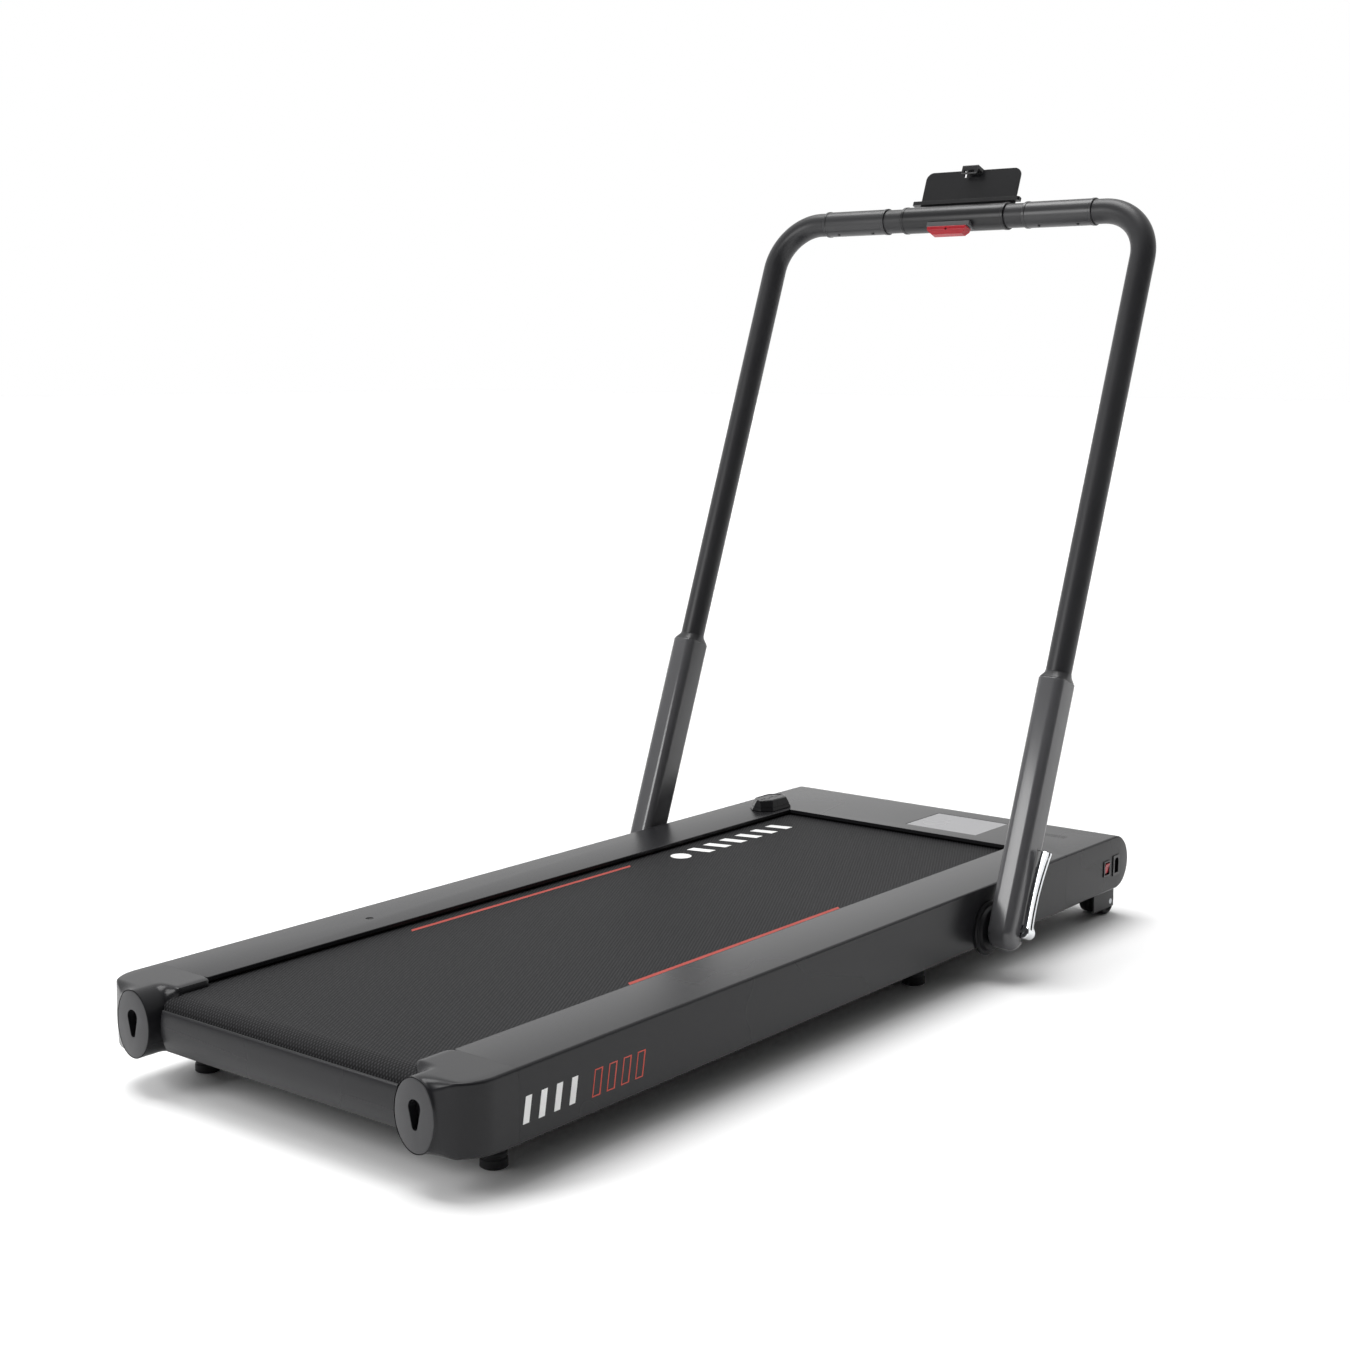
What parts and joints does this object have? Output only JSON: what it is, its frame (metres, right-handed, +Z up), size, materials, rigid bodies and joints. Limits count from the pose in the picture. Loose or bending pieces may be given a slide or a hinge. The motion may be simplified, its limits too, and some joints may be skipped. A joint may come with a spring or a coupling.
{
  "type": "folding treadmill",
  "caption": "Low flat-deck motorised treadmill with a fold-down U-shaped handrail, release levers, phone rest and small console, shown with the handrail raised.",
  "frame": {"origin": "on the floor, under the middle of the deck", "axes": "+Z up, +Y along the deck towards the motor hood, +X to the walker's right"},
  "size_m": [0.694, 1.4032, 1.0989],
  "materials": {
    "arm_paint": "charcoal satin paint",
    "belt_pvc": "PVC belt with a fine diamond grain and red edge stripes",
    "black_plastic": "moulded, satin",
    "black_rubber": "moulded rubber",
    "console_plastic": "moulded ABS, satin",
    "deck_board": "waxed fibreboard",
    "display_film": "acrylic window, unlit",
    "drive_rubber": "ribbed rubber",
    "frame_steel": "black powder coat",
    "grey_rubber": "moulded rubber",
    "grip_rubber": "moulded rubber, satin",
    "guard_plastic": "satin moulded ABS",
    "hinge_bronze": "sintered bronze",
    "lever_chrome": "chrome plate",
    "motor_enamel": "black enamel",
    "pulley_alloy": "turned",
    "red_plastic": "moulded ABS, red",
    "remote_plastic": "moulded ABS, satin",
    "shell_plastic": "satin moulded ABS, charcoal",
    "tube_paint": "charcoal powder coat",
    "wheel_rubber": "moulded wheel",
    "zinc_steel": "zinc plated"
  },
  "bodies": {
    "base": {"belly_pan": "frame_steel", "controller_box": "guard_plastic", "cross_members": "frame_steel", "deck_board": "deck_board", "deck_cushions": "grey_rubber", "display_module": "black_plastic", "display_window": "display_film", "drive_belt": "drive_rubber", "front_axle_plates": "frame_steel", "hinge_blocks": "frame_steel", "hinge_bosses": "black_plastic", "hinge_pins": "zinc_steel", "left_end_cap": "shell_plastic", "left_frame_member": "frame_steel", "left_side_rail": "shell_plastic", "motor_can": "motor_enamel", "motor_hood": "shell_plastic", "motor_tray": "frame_steel", "oil_plug": "black_rubber", "pan_screws": "zinc_steel", "power_inlet": "black_plastic", "rear_axle_blocks": "frame_steel", "rear_guard": "guard_plastic", "right_end_cap": "shell_plastic", "right_frame_member": "frame_steel", "right_side_rail": "shell_plastic", "roller_axles": "zinc_steel", "rubber_feet": "grey_rubber", "running_belt": "belt_pvc", "speaker": "guard_plastic", "switch_bezel": "black_plastic", "tension_bolts": "zinc_steel", "wheel_axles": "zinc_steel", "wheel_forks": "frame_steel"},
    "handrail": {"handrail_tube": "tube_paint", "left_arm": "arm_paint", "right_arm": "arm_paint", "hinge_bushes": "hinge_bronze", "lever_pins": "zinc_steel", "left_grip": "grip_rubber", "right_grip": "grip_rubber", "console_front": "console_plastic", "console_rear": "console_plastic", "phone_plate": "tube_paint", "phone_ledge": "black_plastic"},
    "left_release_lever": {"left_lever": "lever_chrome"},
    "right_release_lever": {"right_lever": "lever_chrome"},
    "clip": {"phone_clip": "black_plastic"},
    "key": {"safety_key": "red_plastic"},
    "remote": {"remote_control": "remote_plastic"},
    "rocker": {"power_rocker": "red_plastic"},
    "front_roller": {"front_roller_tube": "zinc_steel", "front_roller_bearings": "zinc_steel", "roller_pulley": "pulley_alloy"},
    "rear_roller": {"rear_roller_tube": "zinc_steel", "rear_roller_bearings": "zinc_steel"},
    "rotor": {"motor_rotor": "zinc_steel", "motor_pulley": "pulley_alloy"},
    "left_transport_wheel": {"left_wheel": "wheel_rubber"},
    "right_transport_wheel": {"right_wheel": "wheel_rubber"}
  },
  "joints": [
    {"name": "handrail_fold", "type": "hinge", "parent": "base", "child": "handrail", "pos_m": [0, 0.292, 0.065], "axis": [1, 0, 0], "range_deg": [0, 110.5]},
    {"name": "left_lever_release", "type": "hinge", "parent": "handrail", "child": "left_release_lever", "pos_m": [-0.334, 0.2934, 0.06875], "axis": [0, -0.9367, 0.3502], "range_deg": [0, 70]},
    {"name": "right_lever_release", "type": "hinge", "parent": "handrail", "child": "right_release_lever", "pos_m": [0.334, 0.2934, 0.06875], "axis": [0, 0.9367, -0.3502], "range_deg": [0, 70]},
    {"name": "phone_clip_slide", "type": "slide", "parent": "handrail", "child": "clip", "axis": [0, 0.3502, 0.9367], "range_m": [0, 0.035]},
    {"name": "safety_key_pull", "type": "slide", "parent": "handrail", "child": "key", "axis": [0, -0.9367, 0.3502], "range_m": [0, 0.025]},
    {"name": "front_roller_spin", "type": "hinge", "parent": "base", "child": "front_roller", "pos_m": [0, 0.54, 0.0909], "axis": [1, 0, 0], "continuous": true},
    {"name": "rear_roller_spin", "type": "hinge", "parent": "base", "child": "rear_roller", "pos_m": [0, -0.655, 0.0909], "axis": [1, 0, 0], "continuous": true},
    {"name": "motor_spin", "type": "hinge", "parent": "base", "child": "rotor", "pos_m": [0, 0.618, 0.083], "axis": [1, 0, 0], "continuous": true},
    {"name": "left_wheel_spin", "type": "hinge", "parent": "base", "child": "left_transport_wheel", "pos_m": [-0.25, 0.672, 0.02], "axis": [1, 0, 0], "continuous": true},
    {"name": "right_wheel_spin", "type": "hinge", "parent": "base", "child": "right_transport_wheel", "pos_m": [0.25, 0.672, 0.02], "axis": [1, 0, 0], "continuous": true},
    {"name": "power_rocker_tilt", "type": "hinge", "parent": "base", "child": "rocker", "pos_m": [0.2825, 0.632, 0.079], "axis": [0, -1, 0], "range_deg": [0, 11]},
    {"name": "remote_lift", "type": "slide", "parent": "base", "child": "remote", "axis": [0, 0, 1], "range_m": [0, 0.06]}
  ],
  "couplings": [
    {"joint": "rear_roller_spin", "follows": "front_roller_spin", "ratio": 1},
    {"joint": "motor_spin", "follows": "front_roller_spin", "ratio": 2.0569}
  ]
}
